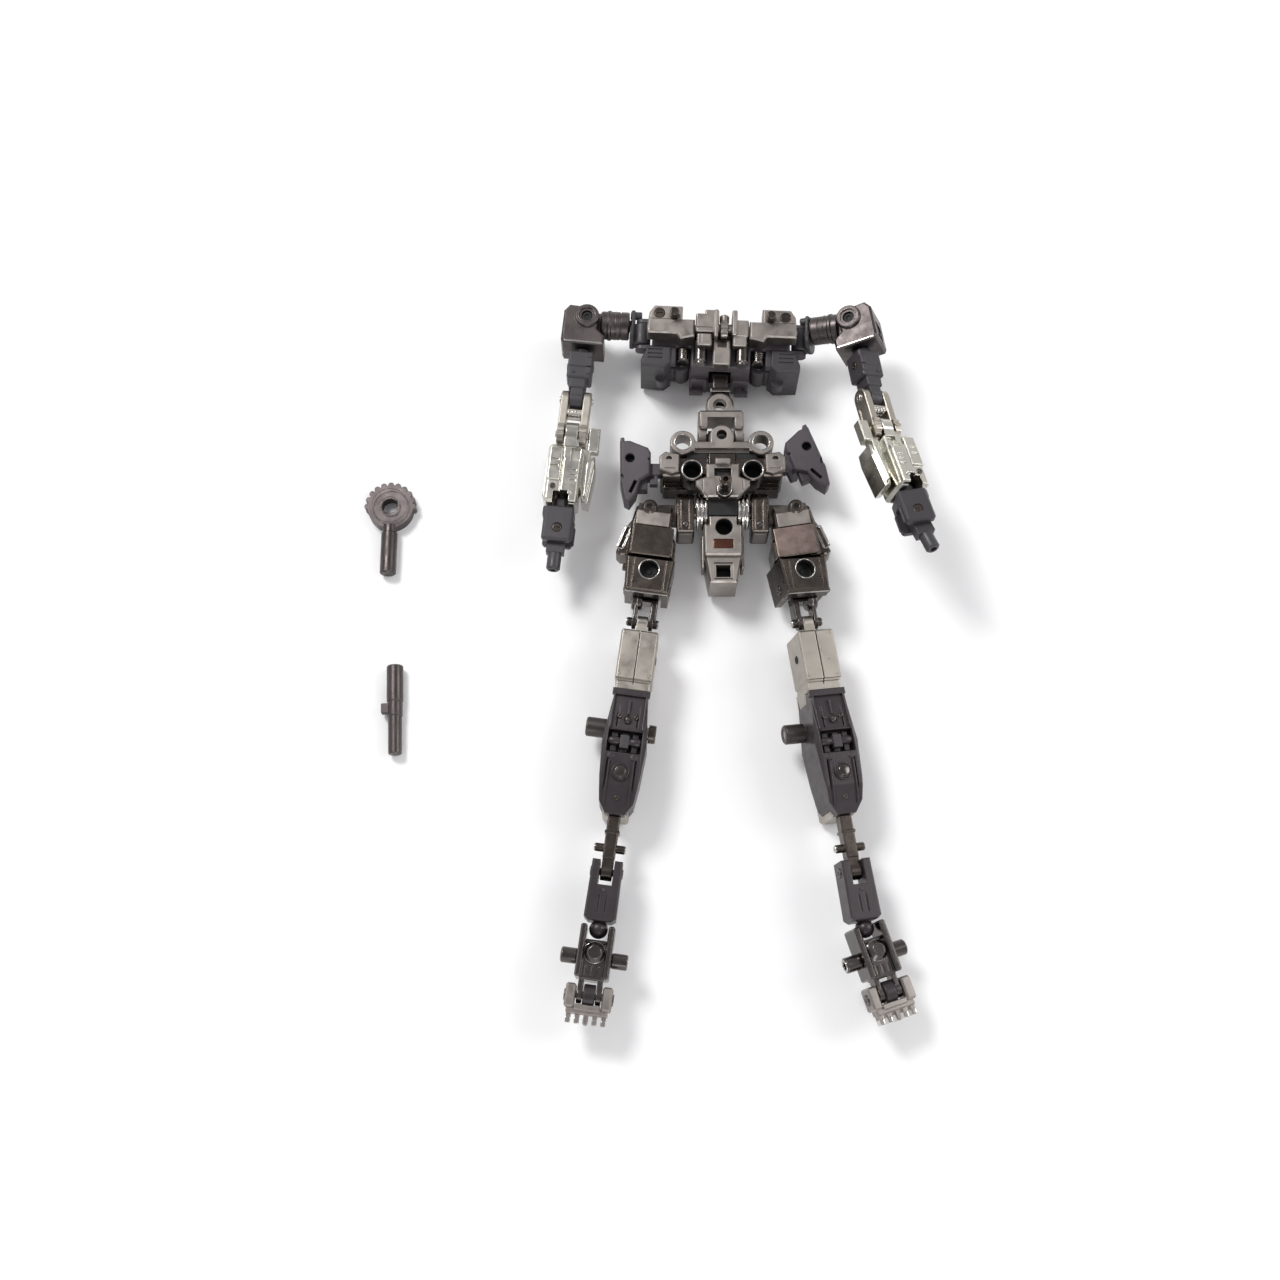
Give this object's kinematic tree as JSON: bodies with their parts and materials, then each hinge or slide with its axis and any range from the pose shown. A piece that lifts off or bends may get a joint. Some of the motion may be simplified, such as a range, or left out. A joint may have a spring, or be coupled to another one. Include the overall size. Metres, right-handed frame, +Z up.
{
  "type": "humanoid robot kit frame",
  "caption": "Posable metal inner frame of a small humanoid robot lying on its back, with hinged limbs, open armour pegs and two loose joint pieces.",
  "frame": {"origin": "bottom centre of the whole kit as it lies on the table", "axes": "+Z up out of the robot's chest, +Y towards its head, +X towards its own left side"},
  "size_m": [0.1344, 0.1718, 0.0291],
  "materials": {
    "pelvis_frame": "polished dark bronze plating",
    "waist_crossbar": "satin, fine cast grain",
    "waist_yoke": "matte moulded charcoal",
    "pelvis_shield": "satin, fine cast grain",
    "front_peg": "polished dark bronze plating",
    "side_plates": "satin, fine cast grain",
    "crotch_block": "satin, fine cast grain",
    "hip_rings": "bright plating",
    "waist_bracket": "satin, fine cast grain",
    "spine_bar": "smoked mirror plating",
    "chest_core": "matte moulded purple grey",
    "left_chest_plate": "satin, fine cast grain",
    "right_chest_plate": "satin, fine cast grain",
    "left_chest_box": "matte moulded charcoal",
    "right_chest_box": "matte moulded charcoal",
    "chest_screws": "polished dark bronze plating",
    "chest_pistons": "smoked mirror plating",
    "collar_block": "satin, fine cast grain",
    "spine_plate": "satin, fine cast grain",
    "neck_post": "satin, fine cast grain",
    "right_side_skirt": "matte moulded purple grey",
    "right_shoulder_joint": "matte moulded charcoal",
    "right_shoulder_drum": "satin dark gunmetal",
    "right_shoulder_block": "satin dark gunmetal",
    "right_upper_arm": "matte moulded charcoal",
    "right_elbow_link": "satin champagne plating",
    "right_forearm": "glossy pale gold plating",
    "right_wrist_block": "matte moulded charcoal",
    "right_hand_peg": "matte moulded charcoal",
    "right_hip_box": "polished dark bronze plating",
    "right_thigh_upper": "polished dark bronze plating",
    "right_thigh_lower": "polished dark bronze plating",
    "right_knee_link": "smoked mirror plating",
    "right_shin_block": "satin champagne plating",
    "right_calf_cover": "matte moulded purple grey",
    "right_ankle_rod": "polished dark bronze plating",
    "right_ankle_fork": "matte moulded charcoal",
    "right_foot_clevis": "smoked mirror plating",
    "right_toe_block": "satin, fine cast grain",
    "left_side_skirt": "matte moulded purple grey",
    "left_shoulder_joint": "matte moulded charcoal",
    "left_shoulder_drum": "satin dark gunmetal",
    "left_shoulder_block": "satin dark gunmetal",
    "left_upper_arm": "matte moulded charcoal",
    "left_elbow_link": "satin champagne plating",
    "left_forearm": "glossy pale gold plating",
    "left_wrist_block": "matte moulded charcoal",
    "left_hand_peg": "matte moulded charcoal",
    "left_hip_box": "polished dark bronze plating",
    "left_thigh_upper": "polished dark bronze plating",
    "left_thigh_lower": "polished dark bronze plating",
    "left_knee_link": "smoked mirror plating",
    "left_shin_block": "satin champagne plating",
    "left_calf_cover": "matte moulded purple grey",
    "left_ankle_rod": "polished dark bronze plating",
    "left_ankle_fork": "matte moulded charcoal",
    "left_foot_clevis": "smoked mirror plating",
    "left_toe_block": "satin, fine cast grain",
    "toothed_disc": "satin dark gunmetal",
    "stepped_pin": "satin dark gunmetal"
  },
  "bodies": {
    "pelvis": {"pelvis_frame": "pelvis_frame", "waist_crossbar": "waist_crossbar", "waist_yoke": "waist_yoke", "pelvis_shield": "pelvis_shield", "front_peg": "front_peg", "side_plates": "side_plates", "crotch_block": "crotch_block", "hip_rings": "hip_rings"},
    "waist": {"waist_bracket": "waist_bracket"},
    "spine": {"spine_bar": "spine_bar"},
    "chest": {"chest_core": "chest_core", "left_chest_plate": "left_chest_plate", "right_chest_plate": "right_chest_plate", "left_chest_box": "left_chest_box", "right_chest_box": "right_chest_box", "chest_screws": "chest_screws", "chest_pistons": "chest_pistons", "collar_block": "collar_block", "spine_plate": "spine_plate"},
    "neck": {"neck_post": "neck_post"},
    "right_skirt": {"right_side_skirt": "right_side_skirt"},
    "right_shoulder_swing": {"right_shoulder_joint": "right_shoulder_joint"},
    "right_shoulder_turner": {"right_shoulder_drum": "right_shoulder_drum"},
    "right_shoulder": {"right_shoulder_block": "right_shoulder_block"},
    "right_upper_arm_link": {"right_upper_arm": "right_upper_arm"},
    "right_elbow": {"right_elbow_link": "right_elbow_link"},
    "right_forearm_link": {"right_forearm": "right_forearm"},
    "right_wrist": {"right_wrist_block": "right_wrist_block"},
    "right_hand": {"right_hand_peg": "right_hand_peg"},
    "right_hip": {"right_hip_box": "right_hip_box"},
    "right_thigh": {"right_thigh_upper": "right_thigh_upper"},
    "right_lower_thigh": {"right_thigh_lower": "right_thigh_lower"},
    "right_knee": {"right_knee_link": "right_knee_link"},
    "right_shin": {"right_shin_block": "right_shin_block", "right_calf_cover": "right_calf_cover", "right_ankle_rod": "right_ankle_rod"},
    "right_ankle": {"right_ankle_fork": "right_ankle_fork"},
    "right_foot": {"right_foot_clevis": "right_foot_clevis"},
    "right_toe": {"right_toe_block": "right_toe_block"},
    "left_skirt": {"left_side_skirt": "left_side_skirt"},
    "left_shoulder_swing": {"left_shoulder_joint": "left_shoulder_joint"},
    "left_shoulder_turner": {"left_shoulder_drum": "left_shoulder_drum"},
    "left_shoulder": {"left_shoulder_block": "left_shoulder_block"},
    "left_upper_arm_link": {"left_upper_arm": "left_upper_arm"},
    "left_elbow": {"left_elbow_link": "left_elbow_link"},
    "left_forearm_link": {"left_forearm": "left_forearm"},
    "left_wrist": {"left_wrist_block": "left_wrist_block"},
    "left_hand": {"left_hand_peg": "left_hand_peg"},
    "left_hip": {"left_hip_box": "left_hip_box"},
    "left_thigh": {"left_thigh_upper": "left_thigh_upper"},
    "left_lower_thigh": {"left_thigh_lower": "left_thigh_lower"},
    "left_knee": {"left_knee_link": "left_knee_link"},
    "left_shin": {"left_shin_block": "left_shin_block", "left_calf_cover": "left_calf_cover", "left_ankle_rod": "left_ankle_rod"},
    "left_ankle": {"left_ankle_fork": "left_ankle_fork"},
    "left_foot": {"left_foot_clevis": "left_foot_clevis"},
    "left_toe": {"left_toe_block": "left_toe_block"},
    "loose_disc": {"toothed_disc": "toothed_disc"},
    "loose_pin": {"stepped_pin": "stepped_pin"}
  },
  "joints": [
    {"name": "waist_pitch", "type": "hinge", "parent": "pelvis", "child": "waist", "pos_m": [0.01906, 0.05345, 0.0081], "axis": [1, 0, 0], "range_deg": [-20, 25]},
    {"name": "torso_twist", "type": "hinge", "parent": "waist", "child": "spine", "pos_m": [0.01906, 0.06445, 0.0081], "axis": [0, 1, 0], "range_deg": [-60, 60]},
    {"name": "chest_lean", "type": "hinge", "parent": "spine", "child": "chest", "pos_m": [0.01906, 0.07205, 0.01], "axis": [0, 0, 1], "range_deg": [-5.4, 10.6]},
    {"name": "neck_nod", "type": "hinge", "parent": "chest", "child": "neck", "pos_m": [0.01934, 0.07824, 0.0172], "axis": [-0.999, 0.0454, 0], "range_deg": [-8, 10]},
    {"name": "right_skirt_flare", "type": "hinge", "parent": "pelvis", "child": "right_skirt", "pos_m": [0.00576, 0.04455, 0.0092], "axis": [0, 0, -1], "range_deg": [-5, 35]},
    {"name": "right_shoulder_forward", "type": "hinge", "parent": "chest", "child": "right_shoulder_swing", "pos_m": [0.00008, 0.07942, 0.011], "axis": [0.0454, 0.999, 0], "range_deg": [-10, 35]},
    {"name": "right_shoulder_turn", "type": "hinge", "parent": "right_shoulder_swing", "child": "right_shoulder_turner", "pos_m": [-0.00281, 0.08205, 0.011], "axis": [-0.999, 0.0454, 0], "range_deg": [-60, 150]},
    {"name": "right_arm_raise", "type": "hinge", "parent": "right_shoulder_turner", "child": "right_shoulder", "pos_m": [-0.0133, 0.08253, 0.011], "axis": [0, 0, -1], "range_deg": [-3.3, 84.7]},
    {"name": "right_arm_twist", "type": "hinge", "parent": "right_shoulder", "child": "right_upper_arm_link", "pos_m": [-0.01443, 0.07541, 0.011], "axis": [-0.1028, -0.9947, 0], "range_deg": [-90, 90]},
    {"name": "right_elbow_upper", "type": "hinge", "parent": "right_upper_arm_link", "child": "right_elbow", "pos_m": [-0.01581, 0.06208, 0.011], "axis": [-0.9947, 0.1028, 0], "range_deg": [0, 68]},
    {"name": "right_elbow_lower", "type": "hinge", "parent": "right_elbow", "child": "right_forearm_link", "pos_m": [-0.01674, 0.05313, 0.011], "axis": [-0.9947, 0.1028, 0], "range_deg": [0, 68]},
    {"name": "right_wrist_twist", "type": "hinge", "parent": "right_forearm_link", "child": "right_wrist", "pos_m": [-0.01903, 0.03678, 0.011], "axis": [-0.1028, -0.9947, 0], "range_deg": [-90, 90]},
    {"name": "right_hand_tilt", "type": "hinge", "parent": "right_wrist", "child": "right_hand", "pos_m": [-0.0199, 0.02832, 0.011], "axis": [0, 0, -1], "range_deg": [-30, 30]},
    {"name": "right_hip_swing", "type": "hinge", "parent": "pelvis", "child": "right_hip", "pos_m": [0.01286, 0.03405, 0.009], "axis": [-1, 0, 0], "range_deg": [-25, 68]},
    {"name": "right_hip_spread", "type": "hinge", "parent": "right_hip", "child": "right_thigh", "pos_m": [0.00376, 0.03305, 0.009], "axis": [0, 0, -1], "range_deg": [-5.8, 37.2]},
    {"name": "right_thigh_twist", "type": "hinge", "parent": "right_thigh", "child": "right_lower_thigh", "pos_m": [0.00211, 0.02096, 0.009], "axis": [0.1357, 0.9907, 0], "range_deg": [-40, 30]},
    {"name": "right_knee_upper", "type": "hinge", "parent": "right_lower_thigh", "child": "right_knee", "pos_m": [0.00124, 0.01462, 0.009], "axis": [0.9907, -0.1357, 0], "range_deg": [0, 62]},
    {"name": "right_knee_lower", "type": "hinge", "parent": "right_knee", "child": "right_shin", "pos_m": [0.00011, 0.0064, 0.009], "axis": [0.9907, -0.1357, 0], "range_deg": [0, 62]},
    {"name": "right_ankle_pitch", "type": "hinge", "parent": "right_shin", "child": "right_ankle", "pos_m": [-0.0079, -0.05206, 0.009], "axis": [0.9907, -0.1357, 0], "range_deg": [-30, 35]},
    {"name": "right_foot_roll", "type": "hinge", "parent": "right_ankle", "child": "right_foot", "pos_m": [-0.00963, -0.06474, 0.009], "axis": [0, 0, -1], "range_deg": [-15, 15]},
    {"name": "right_toe_bend", "type": "hinge", "parent": "right_foot", "child": "right_toe", "pos_m": [-0.01161, -0.0792, 0.009], "axis": [0.9907, -0.1357, 0], "range_deg": [-25, 30]},
    {"name": "left_skirt_flare", "type": "hinge", "parent": "pelvis", "child": "left_skirt", "pos_m": [0.03236, 0.04455, 0.0092], "axis": [0, 0, 1], "range_deg": [-27, 13]},
    {"name": "left_shoulder_forward", "type": "hinge", "parent": "chest", "child": "left_shoulder_swing", "pos_m": [0.03864, 0.07767, 0.011], "axis": [-0.0454, -0.999, 0], "range_deg": [-32, 13]},
    {"name": "left_shoulder_turn", "type": "hinge", "parent": "left_shoulder_swing", "child": "left_shoulder_turner", "pos_m": [0.04153, 0.08004, 0.01212], "axis": [-0.9262, 0.0421, -0.3746], "range_deg": [-60, 150]},
    {"name": "left_arm_raise", "type": "hinge", "parent": "left_shoulder_turner", "child": "left_shoulder", "pos_m": [0.05126, 0.0796, 0.01606], "axis": [-0.3742, 0.017, 0.9272], "range_deg": [-12, 76]},
    {"name": "left_arm_twist", "type": "hinge", "parent": "left_shoulder", "child": "left_upper_arm_link", "pos_m": [0.05269, 0.07257, 0.01676], "axis": [-0.1482, 0.9859, -0.0779], "range_deg": [-138, 42]},
    {"name": "left_elbow_upper", "type": "hinge", "parent": "left_upper_arm_link", "child": "left_elbow", "pos_m": [0.05467, 0.05935, 0.01781], "axis": [-0.8906, -0.0988, 0.4438], "range_deg": [-5, 63]},
    {"name": "left_elbow_lower", "type": "hinge", "parent": "left_elbow", "child": "left_forearm_link", "pos_m": [0.05634, 0.05062, 0.01921], "axis": [-0.8906, -0.0988, 0.4438], "range_deg": [-5, 63]},
    {"name": "left_wrist_twist", "type": "hinge", "parent": "left_forearm_link", "child": "left_wrist", "pos_m": [0.06051, 0.03505, 0.02276], "axis": [-0.2206, 0.9474, -0.2317], "range_deg": [-70, 110]},
    {"name": "left_hand_tilt", "type": "hinge", "parent": "left_wrist", "child": "left_hand", "pos_m": [0.06239, 0.02699, 0.02473], "axis": [0.069, 0.2521, 0.9652], "range_deg": [-38, 22]},
    {"name": "left_hip_swing", "type": "hinge", "parent": "pelvis", "child": "left_hip", "pos_m": [0.02526, 0.03405, 0.009], "axis": [-1, 0, 0], "range_deg": [-25, 68]},
    {"name": "left_hip_spread", "type": "hinge", "parent": "left_hip", "child": "left_thigh", "pos_m": [0.03436, 0.03305, 0.009], "axis": [0, 0, 1], "range_deg": [-6.7, 36.3]},
    {"name": "left_thigh_twist", "type": "hinge", "parent": "left_thigh", "child": "left_lower_thigh", "pos_m": [0.03621, 0.02099, 0.009], "axis": [0.1513, -0.9885, 0], "range_deg": [-28, 42]},
    {"name": "left_knee_upper", "type": "hinge", "parent": "left_lower_thigh", "child": "left_knee", "pos_m": [0.03718, 0.01466, 0.009], "axis": [0.9669, 0.148, -0.2079], "range_deg": [0, 62]},
    {"name": "left_knee_lower", "type": "hinge", "parent": "left_knee", "child": "left_shin", "pos_m": [0.03843, 0.00646, 0.009], "axis": [0.9669, 0.148, -0.2079], "range_deg": [0, 62]},
    {"name": "left_ankle_pitch", "type": "hinge", "parent": "left_shin", "child": "left_ankle", "pos_m": [0.04736, -0.05186, 0.009], "axis": [0.9669, 0.148, -0.2079], "range_deg": [-30, 35]},
    {"name": "left_foot_roll", "type": "hinge", "parent": "left_ankle", "child": "left_foot", "pos_m": [0.04929, -0.06452, 0.009], "axis": [0.2055, 0.0314, 0.9781], "range_deg": [-25, 5]},
    {"name": "left_toe_bend", "type": "hinge", "parent": "left_foot", "child": "left_toe", "pos_m": [0.05392, -0.07835, 0.00847], "axis": [0.9259, 0.3174, -0.2048], "range_deg": [-25, 30]},
    {"name": "loose_disc_lift", "type": "slide", "parent": "pelvis", "child": "loose_disc", "axis": [0, 0, 1], "range_m": [0, 0.06]},
    {"name": "loose_pin_lift", "type": "slide", "parent": "pelvis", "child": "loose_pin", "axis": [0, 0, 1], "range_m": [0, 0.06]}
  ],
  "couplings": [
    {"joint": "right_elbow_lower", "follows": "right_elbow_upper", "ratio": 1},
    {"joint": "right_knee_lower", "follows": "right_knee_upper", "ratio": 1},
    {"joint": "left_elbow_lower", "follows": "left_elbow_upper", "ratio": 1},
    {"joint": "left_knee_lower", "follows": "left_knee_upper", "ratio": 1}
  ]
}
